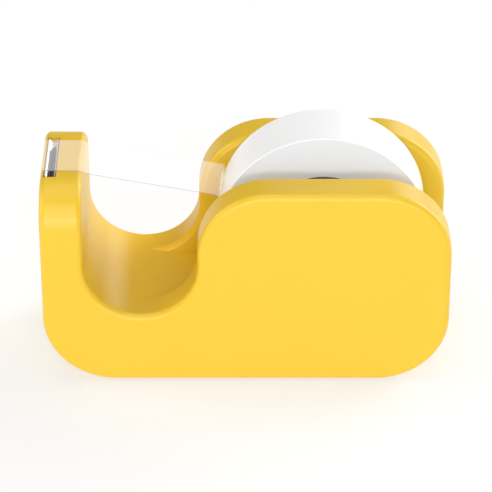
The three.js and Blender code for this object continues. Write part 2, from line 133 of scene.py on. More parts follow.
# fineness of the meshes
CORNER_STEPS = 40
SCOOP_STEPS = 72
SHOULDER_STEPS = 32
FILLET_STEPS = 8
SMALL_STEPS = 4  # on the fillets of small pieces
ROLL_SEGMENTS = 256
LAYERS = 60
FILM_ROWS = 16
FILM_POINTS = {"flat": 60, "over": 24, "straight": 40, "turn": 12, "down": 8, "wrap": 6}
MERGE = 0.002 * MM

shell_lo, shell_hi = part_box("body_shell")
roll_lo, roll_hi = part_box("tape_roll")
pin_lo, pin_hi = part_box("axle_pin")
core_lo, core_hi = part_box("tape_core")
blade_lo, blade_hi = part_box("cutter_blade")
retainer_lo, retainer_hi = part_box("blade_retainer")
end_lo, end_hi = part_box("tape_end")
plate_lo, plate_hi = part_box("base_plate")
pad_lo, pad_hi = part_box("nonslip_pad")

tape_half = roll_hi.y
roll_radius = (roll_hi.x - roll_lo.x) / 2
roll_x = (roll_hi.x + roll_lo.x) / 2
roll_z = (pin_hi.z + pin_lo.z) / 2
pin_radius = (pin_hi.z - pin_lo.z) / 2
core_radius = (core_hi.x - core_lo.x) / 2
bay_half = tape_half + BAY_SIDE_GAP
half_width = shell_hi.y
arm_inner = shell_lo.x + ARM_THICKNESS
scoop_x = arm_inner + SCOOP
scoop_z = shell_lo.z + SCOOP_HEIGHT
hump_x = scoop_x + SCOOP
floor_z = scoop_z - SCOOP
platform_z = shell_hi.z - ARM_DROP
arm_join = platform_z - SHOULDER - EDGE_FILLET


# ---- mesh making --------------------------------------------------------------------------------

def made(name, vertices, faces):
    """A new object with this mesh."""
    mesh = bpy.data.meshes.new(name)
    mesh.from_pydata([tuple(v) for v in vertices], [], faces)
    mesh.validate()
    obj = bpy.data.objects.new(name, mesh)
    bpy.context.scene.collection.objects.link(obj)
    return obj


def arc(cx, cy, radius, start, end, steps):
    """Points of an arc, both ends included; angles in degrees."""
    angles = np.radians(np.linspace(start, end, steps + 1))
    return np.column_stack([cx + radius * np.cos(angles), cy + radius * np.sin(angles)])


def along_y(points, at):
    """Outline points (x, z) at a place across the width."""
    return np.column_stack([points[:, 0], np.full(len(points), at), points[:, 1]])


def along_x(points, at):
    """Outline points (-y, z) at a place along the body."""
    return np.column_stack([np.full(len(points), at), -points[:, 0], points[:, 1]])


def along_z(points, at):
    """Outline points (x, -y) at a height."""
    return np.column_stack([points[:, 0], -points[:, 1], np.full(len(points), at)])


def stack(name, sections, lay):
    """A solid skinned over sections (at, points) of equal count, anticlockwise, in rising order."""
    n = len(sections[0][1])
    vertices = np.vstack([lay(points, at) for at, points in sections])
    faces = [list(range(n))]
    for s in range(len(sections) - 1):
        for i in range(n):
            a, b = s * n + i, s * n + (i + 1) % n
            faces.append([a, a + n, b + n, b])
    last = (len(sections) - 1) * n
    faces.append([last + i for i in reversed(range(n))])
    return made(name, vertices, faces)


def fillet_stations(low, high, radius, steps):
    """Stations (at, inset) across a block whose two ends are filleted."""
    angles = np.linspace(0, math.pi / 2, steps + 1)
    offset, inset = radius * (1 - np.cos(angles)), radius * (1 - np.sin(angles))
    rising = [(low + o, i) for o, i in zip(offset, inset)]
    falling = [(high - o, i) for o, i in zip(offset[::-1], inset[::-1])]
    return rising + falling


def settle(obj):
    """Makes the modifiers of obj part of its mesh."""
    graph = bpy.context.evaluated_depsgraph_get()
    mesh = bpy.data.meshes.new_from_object(obj.evaluated_get(graph))
    obj.modifiers.clear()
    obj.data = mesh


def combine(target, tool, operation="DIFFERENCE"):
    """Cuts tool out of target, or joins it on, and removes tool."""
    step = target.modifiers.new("combine", "BOOLEAN")
    step.object = tool
    step.operation = operation
    step.solver = "MANIFOLD"
    settle(target)
    bpy.data.objects.remove(tool)


def block(name, low, high):
    """A block between two opposite corners, as a tool to cut with."""
    left, right, foot, top = low[0], high[0], low[2], high[2]
    corners = np.array([[left, foot], [right, foot], [right, top], [left, top]])
    return stack(name, [(low[1], corners), (high[1], corners)], along_y)


def barrel(name, x, z, radius, y0, y1, steps=96):
    """A round bar across the width, as a tool to cut with."""
    circle = arc(x, z, radius, 0, 360, steps)[:-1]
    return stack(name, [(y0, circle), (y1, circle)], along_y)


def ring_round_axle(name, profile, segments=160):
    """A ring turned round the roll's axis from a closed profile of (radius, y), anticlockwise."""
    angles = np.linspace(0, 2 * math.pi, segments, endpoint=False)
    n = len(profile)
    vertices = [
        (roll_x + r * math.cos(a), y, roll_z + r * math.sin(a)) for a in angles for r, y in profile
    ]
    faces = []
    for s in range(segments):
        t = (s + 1) % segments
        for i in range(n):
            j = (i + 1) % n
            faces.append([s * n + i, t * n + i, t * n + j, s * n + j])
    return made(name, vertices, faces)


def rounded(profile, radius, steps=4):
    """A closed profile with each corner rounded, by radius or by what its sides allow."""
    profile = [np.array(p, float) for p in profile]
    points = []
    for i, corner in enumerate(profile):
        before, after = profile[i - 1], profile[(i + 1) % len(profile)]
        reach = min(radius, *(0.45 * np.linalg.norm(p - corner) for p in (before, after)))
        start = corner + (before - corner) / np.linalg.norm(before - corner) * reach
        end = corner + (after - corner) / np.linalg.norm(after - corner) * reach
        for t in np.linspace(0, 1, steps + 1):
            points.append((1 - t) ** 2 * start + 2 * t * (1 - t) * corner + t**2 * end)
    return np.array(points)


def bevel_edges(obj, width, keep, segments=2, over=40):
    """Rounds the edges that turn more than `over` degrees, where keep(midpoint) allows."""
    work = bmesh.new()
    work.from_mesh(obj.data)
    sharp = [
        e
        for e in work.edges
        if len(e.link_faces) == 2
        and e.calc_face_angle(0) > math.radians(over)
        and keep((e.verts[0].co + e.verts[1].co) / 2)
    ]
    bmesh.ops.bevel(
        work, geom=sharp, offset=width, segments=segments, profile=0.5, affect="EDGES",
        clamp_overlap=True,
    )
    bmesh.ops.remove_doubles(work, verts=work.verts, dist=MERGE)
    bmesh.ops.dissolve_degenerate(work, edges=work.edges, dist=MERGE)
    work.to_mesh(obj.data)
    work.free()


def shade(obj, angle=35):
    """Smooth where the surface is round, crisp at edges sharper than angle, flat on flat faces."""
    obj.data.shade_smooth()
    obj.data.set_sharp_from_angle(angle=math.radians(angle))
    weighted = obj.modifiers.new("weighted", "WEIGHTED_NORMAL")
    weighted.keep_sharp = True
    weighted.weight = 90
    settle(obj)
    return obj


# ---- body ---------------------------------------------------------------------------------------

def body_outline(inset, arm_z):
    """The body's side outline, moved into the material by inset; the arm stops at arm_z."""
    left, right = shell_lo.x + inset, shell_hi.x - inset
    low, high = shell_lo.z + inset, shell_hi.z - inset
    base, hump = BASE_CORNER - inset, HUMP_CORNER - inset
    return np.vstack([
        arc(left + base, low + base, base, 180, 270, CORNER_STEPS),
        arc(right - base, low + base, base, 270, 360, CORNER_STEPS),
        arc(right - hump, high - hump, hump, 0, 90, CORNER_STEPS),
        arc(hump_x + inset + hump, high - hump, hump, 90, 180, CORNER_STEPS),
        arc(scoop_x, scoop_z, SCOOP + inset, 360, 180, SCOOP_STEPS),
        [(arm_inner - inset, arm_z), (left, arm_z)],
    ])


def arm_outline(inset, low, top):
    """The arm's front-to-back outline, with its two round shoulders."""
    half, radius = half_width - inset, SHOULDER - inset
    return np.vstack([
        [(-half, low), (half, low)],
        arc(half - radius, top - inset - radius, radius, 0, 90, SHOULDER_STEPS),
        arc(-half + radius, top - inset - radius, radius, 90, 180, SHOULDER_STEPS),
    ])


def saddle(side):
    """One U-shaped saddle on the bay's wall."""
    face, wall = side * (tape_half + SADDLE_ROLL_GAP), side * (bay_half + SADDLE_ROOT)
    y0, y1 = sorted((face, wall))
    slot, top = pin_radius + GAP, roll_z + SADDLE_RISE
    outline = np.vstack([
        arc(roll_x, roll_z, SADDLE, 180, 360, CORNER_STEPS),
        [(roll_x + SADDLE, top), (roll_x + slot, top)],
        arc(roll_x, roll_z, slot, 360, 180, SHOULDER_STEPS),
        [(roll_x - slot, top), (roll_x - SADDLE, top)],
    ])
    return stack("saddle", [(y0, outline), (y1, outline)], along_y)


def bay_wall(y0, y1):
    """One wall beside the roll, as a block with both of its faces' edges filleted."""
    stations = fillet_stations(y0, y1, BAY_FILLET, FILLET_STEPS)
    return stack("wall", [(at, body_outline(inset, arm_join)) for at, inset in stations], along_y)


def build_body():
    """The moulded body: its block and arm, cut for the bay, the well, the seat and the base."""
    body = stack(
        "body",
        [
            (at, body_outline(inset, arm_join))
            for at, inset in fillet_stations(-half_width, half_width, EDGE_FILLET, FILLET_STEPS)
        ],
        along_y,
    )
    arm = stack(
        "arm",
        [
            (at, arm_outline(inset, arm_join - OVERLAP, platform_z))
            for at, inset in fillet_stations(shell_lo.x, arm_inner, EDGE_FILLET, FILLET_STEPS)
        ],
        along_x,
    )
    combine(body, arm, "UNION")
    for half in (bay_half, bay_half + BAY_FILLET):
        channel = block(
            "channel",
            (scoop_x + CHANNEL_START, -half, floor_z),
            (shell_hi.x + CUT_PAST, half, shell_hi.z + CUT_PAST),
        )
        if half > bay_half:
            combine(channel, bay_wall(-half_width, -bay_half))
            combine(channel, bay_wall(bay_half, half_width))
        combine(body, channel)
    combine(body, barrel("well", roll_x, roll_z, roll_radius + WELL_GAP, -bay_half, bay_half))
    seat_x = shell_lo.x + SEAT_RIM
    seat = block(
        "seat",
        (seat_x, -tape_half - SEAT_FRONT, platform_z - SEAT_DEPTH),
        (seat_x + SEAT_WIDTH, tape_half + SEAT_REAR, platform_z + CUT_PAST),
    )
    combine(body, seat)
    recess = block(
        "recess",
        (plate_lo.x - RECESS_GAP, plate_lo.y - RECESS_GAP, shell_lo.z - CUT_PAST),
        (plate_hi.x + RECESS_GAP, plate_hi.y + RECESS_GAP, plate_hi.z + RECESS_HEADROOM),
    )
    combine(body, recess)
    bevel_edges(body, INNER_EDGE, keep=lambda p: abs(p.y) < bay_half + INNER_EDGE)
    combine(body, saddle(-1), "UNION")
    combine(body, saddle(1), "UNION")
    return shade(body)


# ---- lights, floor and camera -------------------------------------------------------------------

def add_light(name, spot, size, power):
    """A softbox at spot, turned to the object."""
    data = bpy.data.lights.new(name, "AREA")
    data.shape = "RECTANGLE"
    data.size, data.size_y = size
    data.energy = power
    lamp = bpy.data.objects.new(name, data)
    bpy.context.scene.collection.objects.link(lamp)
    lamp.location = spot
    lamp.rotation_euler = (Vector(LIGHT_AIM) - Vector(spot)).to_track_quat("-Z", "Y").to_euler()


WORLD_STRENGTH = 0.25
LIGHT_AIM = (0, 0, 0.04)
FLOOR_HALF = 4
CAMERA_ELEVATION = 31.9  # degrees
CAMERA_DISTANCE = 0.8742
CAMERA_AIM = 34.4 * MM  # over the body's underside
LENS = 201.0  # millimetres, as is the sensor
SENSOR = 36.0
CLIP_START = 0.05
CLIP_END = 20
SOFTBOXES = {  # place, size and power of each
    "front_low": ((0, -1.9, 0.25), (2.2, 0.7), 27),
    "front_high": ((0, -1.3, 1.05), (0.9, 0.6), 5.5),
    "right_side": ((1.4, 0.75, 0.6), (0.9, 1.4), 17),
    "right_back": ((1.0, 1.3, 0.7), (1.2, 0.9), 7.5),
    "overhead": ((0, 0.1, 1.7), (1.4, 1.4), 8.6),
    "left_side": ((-1.5, 0, 0.6), (1.0, 1.4), 10),
}


def build_studio():
    """The white surroundings, the softboxes and the floor."""
    scene = bpy.context.scene
    scene.view_settings.view_transform = "Standard"
    world = bpy.data.worlds.new("studio")
    world.use_nodes = True
    world.node_tree.nodes["Background"].inputs["Color"].default_value = (1, 1, 1, 1)
    world.node_tree.nodes["Background"].inputs["Strength"].default_value = WORLD_STRENGTH
    scene.world = world
    for name, (spot, size, power) in SOFTBOXES.items():
        add_light(name, spot, size, power)
    half = FLOOR_HALF
    corners = [(-half, -half, 0), (half, -half, 0), (half, half, 0), (-half, half, 0)]
    floor = made("floor", corners, [[0, 1, 2, 3]])
    floor.data.materials.append(floor_finish())


def build_camera():
    """A long lens, square to the front and looking down on it."""
    elevation = math.radians(CAMERA_ELEVATION)
    towards_camera = Vector((0, -math.cos(elevation), math.sin(elevation)))
    target = Vector((0, 0, shell_lo.z + CAMERA_AIM))
    data = bpy.data.cameras.new("camera")
    data.lens, data.sensor_width = LENS, SENSOR
    data.clip_start, data.clip_end = CLIP_START, CLIP_END
    camera = bpy.data.objects.new("camera", data)
    bpy.context.scene.collection.objects.link(camera)
    camera.location = target + CAMERA_DISTANCE * towards_camera
    camera.rotation_euler = (target - camera.location).to_track_quat("-Z", "Y").to_euler()
    bpy.context.scene.camera = camera


# ---- shader node groups -------------------------------------------------------------------------

def new_group(name, inputs, outputs):
    """An empty shader group with these (name, kind, value) inputs and (name, kind) outputs."""
    group = bpy.data.node_groups.new(name, "ShaderNodeTree")
    for label, kind, value in inputs:
        socket = group.interface.new_socket(label, in_out="INPUT", socket_type=kind)
        socket.default_value = value
    for label, kind in outputs:
        group.interface.new_socket(label, in_out="OUTPUT", socket_type=kind)
    entry, leave = group.nodes.new("NodeGroupInput"), group.nodes.new("NodeGroupOutput")
    return group, entry.outputs, leave.inputs


class Tree:
    """Short ways to add and join nodes in a material or a group."""

    def __init__(self, tree):
        self.tree = tree

    def node(self, kind, inputs=None, **settings):
        node = self.tree.nodes.new(kind)
        for key, value in settings.items():
            setattr(node, key, value)
        for key, value in (inputs or {}).items():
            self.feed(node.inputs[key], value)
        return node

    def feed(self, socket, value):
        if isinstance(value, bpy.types.NodeSocket):
            self.tree.links.new(value, socket)
        else:
            socket.default_value = value

    def math(self, operation, *values, clamp=False):
        node = self.node("ShaderNodeMath", operation=operation, use_clamp=clamp)
        for socket, value in zip(node.inputs, values):
            self.feed(socket, value)
        return node.outputs[0]

    def noise(self, vector, scale, detail=2.0, roughness=0.5):
        node = self.node(
            "ShaderNodeTexNoise",
            {"Vector": vector, "Scale": scale, "Detail": detail, "Roughness": roughness},
        )
        return node.outputs["Fac"]

    def spread(self, value, low, high, to_low=0.0, to_high=1.0):
        limits = {"From Min": low, "From Max": high, "To Min": to_low, "To Max": to_high}
        return self.node("ShaderNodeMapRange", {"Value": value, **limits}).outputs["Result"]

    def mix(self, factor, first, second):
        node = self.node("ShaderNodeMix", data_type="RGBA")
        sockets = {s.identifier: s for s in list(node.inputs) + list(node.outputs)}
        self.feed(sockets["Factor_Float"], factor)
        self.feed(sockets["A_Color"], first)
        self.feed(sockets["B_Color"], second)
        return sockets["Result_Color"]

    def bump(self, height, distance):
        node = self.node("ShaderNodeBump", {"Height": height, "Distance": distance})
        return node.outputs["Normal"]

    def coords(self):
        return self.node("ShaderNodeTexCoord").outputs["Object"]

    def group(self, group, **inputs):
        node = self.node("ShaderNodeGroup", node_tree=group)
        for key, value in inputs.items():
            self.feed(node.inputs[key.replace("_", " ")], value)
        return node.outputs


def colour(r, g, b):
    return (r, g, b, 1.0)


PATCHY = 0.35, 0.7  # between these, a noise passes from none of an effect to all of it
BROAD_GRAIN = 90.0  # patches in a metre
SHADE_PITCH = 0.3  # of the rings' frequency
WHITE = colour(1, 1, 1)


def moulded_grain():
    """Fine grain of a polished mould: a height for bump and a small change of roughness."""
    group, given, out = new_group(
        "moulded_grain",
        [("Grain Size", "NodeSocketFloat", 0.0004), ("Roughness", "NodeSocketFloat", 0.4),
         ("Roughness Change", "NodeSocketFloat", 0.06)],
        [("Height", "NodeSocketFloat"), ("Roughness", "NodeSocketFloat")],
    )
    tree = Tree(group)
    point = tree.coords()
    fine = tree.noise(point, tree.math("DIVIDE", 1.0, given["Grain Size"]), 3.0)
    broad = tree.noise(point, BROAD_GRAIN, 3.0)
    tree.feed(out["Height"], fine)
    change = tree.math("MULTIPLY", tree.math("SUBTRACT", broad, 0.5), given["Roughness Change"])
    tree.feed(out["Roughness"], tree.math("ADD", given["Roughness"], change, clamp=True))
    return group


def colour_drift():
    """Slow change of a colour over the surface, as pigment flow leaves in a moulding."""
    group, given, out = new_group(
        "colour_drift",
        [("Colour", "NodeSocketColor", colour(0.8, 0.8, 0.8)),
         ("Deep Colour", "NodeSocketColor", colour(0.6, 0.6, 0.6)),
         ("Patch Size", "NodeSocketFloat", 0.02), ("Amount", "NodeSocketFloat", 0.2)],
        [("Colour", "NodeSocketColor")],
    )
    tree = Tree(group)
    patches = tree.noise(tree.coords(), tree.math("DIVIDE", 1.0, given["Patch Size"]), 3.0)
    factor = tree.math("MULTIPLY", tree.spread(patches, *PATCHY), given["Amount"], clamp=True)
    tree.feed(out["Colour"], tree.mix(factor, given["Colour"], given["Deep Colour"]))
    return group


def wound_rings():
    """Rings round the roll's axis, as in wound film or board, with a height and a 0 to 1 shade."""
    group, given, out = new_group(
        "wound_rings",
        [("Ring Pitch", "NodeSocketFloat", 0.0005)],
        [("Height", "NodeSocketFloat"), ("Shade", "NodeSocketFloat")],
    )
    tree = Tree(group)
    axis = tree.node("ShaderNodeCombineXYZ", {"X": roll_x, "Z": roll_z}).outputs[0]
    split = tree.node("ShaderNodeSeparateXYZ")
    offset = tree.node("ShaderNodeVectorMath", operation="SUBTRACT")
    tree.feed(offset.inputs[0], tree.coords())
    tree.feed(offset.inputs[1], axis)
    tree.feed(split.inputs[0], offset.outputs[0])
    squares = tree.math(
        "ADD",
        tree.math("MULTIPLY", split.outputs["X"], split.outputs["X"]),
        tree.math("MULTIPLY", split.outputs["Z"], split.outputs["Z"]),
    )
    radius = tree.math("SQRT", squares)
    line = tree.node("ShaderNodeCombineXYZ", {"X": radius}).outputs[0]
    frequency = tree.math("DIVIDE", 1.0, given["Ring Pitch"])
    tree.feed(out["Height"], tree.noise(line, frequency, 4.0, 0.7))
    slower = tree.math("MULTIPLY", frequency, SHADE_PITCH)
    tree.feed(out["Shade"], tree.noise(line, slower, 5.0, 0.75))
    return group


def brushed_lines():
    """Long fine lines along one axis, as rolling or brushing leaves in metal."""
    group, given, out = new_group(
        "brushed_lines",
        [("Stretch", "NodeSocketVector", (1, 1, 1)), ("Line Width", "NodeSocketFloat", 0.0002),
         ("Roughness", "NodeSocketFloat", 0.3), ("Roughness Change", "NodeSocketFloat", 0.2)],
        [("Height", "NodeSocketFloat"), ("Roughness", "NodeSocketFloat")],
    )
    tree = Tree(group)
    scaled = tree.node("ShaderNodeVectorMath", operation="MULTIPLY")
    tree.feed(scaled.inputs[0], tree.coords())
    tree.feed(scaled.inputs[1], given["Stretch"])
    lines = tree.noise(
        scaled.outputs[0], tree.math("DIVIDE", 1.0, given["Line Width"]), 4.0, 0.6
    )
    tree.feed(out["Height"], lines)
    change = tree.math("MULTIPLY", tree.math("SUBTRACT", lines, 0.5), given["Roughness Change"])
    tree.feed(out["Roughness"], tree.math("ADD", given["Roughness"], change, clamp=True))
    return group


GRAIN = moulded_grain()
DRIFT = colour_drift()
RINGS = wound_rings()
LINES = brushed_lines()


# ---- finishes -----------------------------------------------------------------------------------

def finish(name):
    """A new node material: its tree and its Principled shader's inputs."""
    material = bpy.data.materials.new(name)
    material.use_nodes = True
    shader = material.node_tree.nodes["Principled BSDF"]
    return material, Tree(material.node_tree), shader.inputs


def moulded_plastic(name, main, deep, roughness, grain_size, grain_depth, amount=0.25):
    """A moulded surface: a slow drift from main to deep colour, and a fine grain."""
    material, tree, shader = finish(name)
    drift = tree.group(DRIFT, Colour=main, Deep_Colour=deep, Patch_Size=0.03, Amount=amount)
    grain = tree.group(GRAIN, Grain_Size=grain_size, Roughness=roughness)
    tree.feed(shader["Base Color"], drift["Colour"])
    tree.feed(shader["Roughness"], grain["Roughness"])
    tree.feed(shader["Normal"], tree.bump(grain["Height"], grain_depth))
    return material


def brushed_metal(name, main, deep, roughness, stretch, line_width, depth):
    """Bare metal with its rolled or brushed lines, drawn out where stretch is small."""
    material, tree, shader = finish(name)
    drift = tree.group(DRIFT, Colour=main, Deep_Colour=deep, Patch_Size=0.006, Amount=0.5)
    lines = tree.group(LINES, Stretch=stretch, Line_Width=line_width, Roughness=roughness)
    tree.feed(shader["Base Color"], drift["Colour"])
    tree.feed(shader["Roughness"], lines["Roughness"])
    tree.feed(shader["Normal"], tree.bump(lines["Height"], depth))
    shader["Metallic"].default_value = 1.0
    return material


def wound(name, main, deep, roughness, pitch, depth, amount, painted_glow=0.0):
    """Layers round the axle; painted_glow is painted light, an even emission that stands in for the
    light milky layers pass on and lifts the shade cast on them.
    """
    material, tree, shader = finish(name)
    rings = tree.group(RINGS, Ring_Pitch=pitch)
    shade_amount = tree.math("MULTIPLY", tree.spread(rings["Shade"], *PATCHY), amount)
    tree.feed(shader["Base Color"], tree.mix(shade_amount, main, deep))
    shader["Roughness"].default_value = roughness
    shader["Emission Color"].default_value = WHITE
    shader["Emission Strength"].default_value = painted_glow
    tree.feed(shader["Normal"], tree.bump(rings["Height"], depth))
    return material


FREE_FILM = 0.11, 0.17  # opacity, from its clearest to its cloudiest spots
MILKY_START = 6.5 * MM  # right of the hump's left side
MILKY_RISE = 1.2 * MM  # how far the change takes
MILKY_SKEW = 2.2 * MM  # how much later it comes at the rear edge
MILKY_GAIN = 0.5  # opacity added where the film lies on the roll
CLOUDS = 260.0  # in a metre
# painted light: how strongly the film glows of itself, brighter than its lamps make it
PAINTED_FILM_GLOW = 0.25
FLOOR_GLOW = 0.54


def clear_film():
    """Frosted film, see-through where it hangs free and milky where it lies on the roll."""
    material, tree, shader = finish("clear_tape")
    point = tree.coords()
    split = tree.node("ShaderNodeSeparateXYZ")
    tree.feed(split.inputs[0], point)
    milky_x = hump_x + MILKY_START
    across = tree.spread(split.outputs["Y"], -tape_half, tape_half)
    skew = tree.math("MULTIPLY", tree.math("POWER", across, 3.0), MILKY_SKEW)
    past = tree.math("SUBTRACT", split.outputs["X"], skew)
    on_roll = tree.spread(past, milky_x, milky_x + MILKY_RISE, 0.0, MILKY_GAIN)
    cloud = tree.noise(point, CLOUDS, 4.0, 0.6)
    alpha = tree.math("ADD", on_roll, tree.spread(cloud, 0, 1, *FREE_FILM))
    drift = tree.group(
        DRIFT, Colour=WHITE, Deep_Colour=colour(0.93, 0.93, 0.9), Patch_Size=0.01, Amount=0.4
    )
    grain = tree.group(GRAIN, Grain_Size=0.0006, Roughness=0.35)
    tree.feed(shader["Base Color"], drift["Colour"])
    # painted light: the film glows evenly in its own colour
    tree.feed(shader["Emission Color"], drift["Colour"])
    shader["Emission Strength"].default_value = PAINTED_FILM_GLOW
    tree.feed(shader["Alpha"], alpha)
    tree.feed(shader["Roughness"], grain["Roughness"])
    tree.feed(shader["Normal"], tree.bump(grain["Height"], 0.000004))
    return material


def film_edge():
    """The cut edge of the film, which only shows from its own side."""
    material, tree, shader = finish("film_edge")
    drift = tree.group(
        DRIFT, Colour=colour(0.3, 0.28, 0.33), Deep_Colour=colour(0.22, 0.21, 0.25),
        Patch_Size=0.008, Amount=0.6,
    )
    outside = tree.math("SUBTRACT", 1.0, tree.node("ShaderNodeNewGeometry").outputs["Backfacing"])
    tree.feed(shader["Base Color"], drift["Colour"])
    tree.feed(shader["Alpha"], outside)
    shader["Roughness"].default_value = 0.5
    return material


def floor_finish():
    """The pale matt floor, lit a little from within so that it stays white."""
    material, tree, shader = finish("studio_floor")
    drift = tree.group(
        DRIFT, Colour=colour(0.45, 0.45, 0.45), Deep_Colour=colour(0.44, 0.44, 0.44),
        Patch_Size=0.2, Amount=0.5,
    )
    tree.feed(shader["Base Color"], drift["Colour"])
    shader["Emission Color"].default_value = WHITE
    shader["Emission Strength"].default_value = FLOOR_GLOW
    shader["Roughness"].default_value = 0.9
    shader["Specular IOR Level"].default_value = 0.1
    return material


yellow = moulded_plastic(
    "yellow_moulding", colour(0.76, 0.49, 0.022), colour(0.73, 0.46, 0.018),
    roughness=0.36, grain_size=0.0005, grain_depth=0.000003,
)
dark_grey = moulded_plastic(
    "grey_base_plastic", colour(0.07, 0.072, 0.078), colour(0.045, 0.046, 0.05),
    roughness=0.6, grain_size=0.0006, grain_depth=0.00004,
)
black = moulded_plastic(
    "black_retainer_plastic", colour(0.012, 0.012, 0.014), colour(0.02, 0.02, 0.022),
    roughness=0.35, grain_size=0.0003, grain_depth=0.000006,
)
foam = moulded_plastic(
    "black_foam", colour(0.03, 0.03, 0.032), colour(0.015, 0.015, 0.016),
    roughness=0.95, grain_size=0.0007, grain_depth=0.0001, amount=0.8,
)
nylon = moulded_plastic(
    "natural_nylon", colour(0.72, 0.71, 0.68), colour(0.62, 0.6, 0.55),
    roughness=0.5, grain_size=0.0005, grain_depth=0.00001,
)
blade_steel = brushed_metal(
    "bright_blade_strip", colour(0.95, 0.95, 0.95), colour(0.85, 0.86, 0.87),
    roughness=0.45, stretch=(1, 0.04, 1), line_width=0.0002, depth=0.000004,
)
screw_steel = brushed_metal(
    "zinc_plated_steel", colour(0.55, 0.56, 0.57), colour(0.42, 0.43, 0.42),
    roughness=0.35, stretch=(1, 1, 0.1), line_width=0.0003, depth=0.000006,
)
ballast_steel = brushed_metal(
    "cut_steel", colour(0.2, 0.2, 0.205), colour(0.1, 0.085, 0.07),
    roughness=0.6, stretch=(0.1, 1, 1), line_width=0.0008, depth=0.00003,
)
# painted light: the sides glow (painted_glow 0.3) to lift the shade the front wall casts on them,
# and their base colour is darkened to make up for it
roll_sides = wound(
    "wound_film_sides", colour(0.43, 0.45, 0.49), colour(0.36, 0.38, 0.42),
    roughness=0.45, pitch=0.0006, depth=0.00003, amount=0.5, painted_glow=0.3,
)
roll_face = moulded_plastic(
    "wound_film_face", colour(0.94, 0.94, 0.935), colour(0.91, 0.91, 0.91),
    roughness=0.3, grain_size=0.002, grain_depth=0.00001, amount=0.5,
)
core_board = wound(
    "wound_board", colour(0.3, 0.26, 0.2), colour(0.16, 0.13, 0.1),
    roughness=0.85, pitch=0.0005, depth=0.00006, amount=0.8,
)
film = clear_film()
edge = film_edge()


# ---- pieces -------------------------------------------------------------------------------------

def hand_over(obj, body, slot, nodes, *materials):
    """Gives a finished piece its materials and its body, and hides the nodes it stands for; slot is
    not used.
    """
    kinds = [min(p.material_index, len(materials) - 1) for p in obj.data.polygons]
    obj.data.materials.clear()
    for material in materials:
        obj.data.materials.append(material)
    obj.data.polygons.foreach_set("material_index", kinds)
    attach(obj, body)
    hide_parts(*nodes)


def build_roll():
    """The wound film: its rims just rounded, its sides a little uneven from layer to layer."""
    inner, rim = core_radius + CORE_FIT, ROLL_RIM
    radii = np.linspace(inner, roll_radius - rim, LAYERS)
    fast, slow = LAYER_WAVES
    wave = ROLL_DISH * (0.5 + 0.5 * np.sin(radii * fast) * np.sin(radii * slow))
    front = [(r, -tape_half + w) for r, w in zip(radii, wave)]
    corner = arc(roll_radius - rim, -tape_half + rim, rim, -90, 0, SMALL_STEPS)[1:]
    half = front + [tuple(p) for p in corner]
    profile = half + [(r, -y) for r, y in reversed(half)]
    ring = ring_round_axle("roll_of_tape", profile, ROLL_SEGMENTS)
    ring.data.materials.append(roll_sides)
    ring.data.materials.append(roll_face)
    on_rim = roll_radius - rim / 2
    for polygon in ring.data.polygons:
        reach = math.hypot(polygon.center.x - roll_x, polygon.center.z - roll_z)
        polygon.material_index = int(reach > on_rim)
    return shade(ring, 50)


def build_core():
    """The board tube that the film is wound on."""
    inner, half = core_radius - CORE_WALL, core_hi.y
    corners = [(inner, -half), (core_radius, -half), (core_radius, half), (inner, half)]
    return shade(ring_round_axle("core", rounded(corners, CORE_CORNER)), 50)


def build_hub(side):
    """A hub half: a bearing tube on the pin, a sleeve in the core, and a web between them."""
    bore, wall = pin_radius + GAP, HUB_WALL
    sleeve, face = core_radius - CORE_WALL - GAP, core_hi.y
    web, inside = face - 2 * wall, GAP / 2
    corners = [
        (bore, inside), (bore + wall, inside), (bore + wall, web), (sleeve - wall, web),
        (sleeve - wall, inside), (sleeve, inside), (sleeve, face), (sleeve - wall, face),
        (sleeve - wall, web + wall), (bore + wall, web + wall), (bore + wall, face), (bore, face),
    ]
    if side < 0:
        corners = [(r, -y) for r, y in reversed(corners)]
    name = "hub_front_half" if side < 0 else "hub_rear_half"
    return shade(ring_round_axle(name, rounded(corners, HUB_CORNER), 120), 50)


def build_pin():
    """The axle's pin, chamfered at both ends."""
    chamfer = PIN_CHAMFER
    stations = [
        (pin_lo.y, pin_radius - chamfer), (pin_lo.y + chamfer, pin_radius),
        (pin_hi.y - chamfer, pin_radius), (pin_hi.y, pin_radius - chamfer),
    ]
    sections = [(y, arc(roll_x, roll_z, r, 0, 360, 64)[:-1]) for y, r in stations]
    return shade(stack("axle", sections, along_y), 30)


def build_blade():
    """The steel strip with its saw teeth, a closed solid sampled along the width."""
    thick, foot_z, tip_z = STRIP, blade_lo.z, blade_hi.z
    heel_z = platform_z - HEEL_DROP
    foot_x, back = blade_lo.x + TOOTH_LEAN, blade_hi.x
    stations = np.arange(blade_lo.y, blade_hi.y + TOOTH_PITCH / 4, TOOTH_PITCH / 2)
    sections = []
    for i, y in enumerate(stations):
        tip = tip_z - TOOTH_DEPTH * (i % 2)
        tip_x = foot_x - TOOTH_LEAN * (tip - foot_z) / (tip_z - foot_z)
        outline = np.array([
            (foot_x, foot_z), (back, foot_z), (back, heel_z), (back - thick, heel_z),
            (back - thick, foot_z + thick), (foot_x + thick, foot_z + thick),
            (tip_x + TOOTH_TIP * thick, tip), (tip_x, tip),
        ])
        sections.append((y, outline))
    return shade(stack("blade", sections, along_y), 25)


def build_retainer():
    """The black bar on the blade's foot: its rear end is cut at a slant, its top edges rounded."""
    low, high, slant = retainer_lo, retainer_hi, RETAINER_SLANT
    top = high.z + RETAINER_PROUD
    left, right = low.x - RETAINER_LEFT, high.x + RETAINER_RIGHT
    rounding = fillet_stations(low.z, top, RETAINER_ROUND, SMALL_STEPS)[SMALL_STEPS + 1:]
    sections = []
    for at, inset in [(low.z, 0)] + rounding:
        x0, x1, y0, y1 = left + inset, right - inset, low.y + inset, high.y - inset
        sections.append((at, np.array([(x0, slant - y1), (x1, -y1), (x1, -y0), (x0, -y0)])))
    return shade(stack("retainer", sections, along_z), 30)


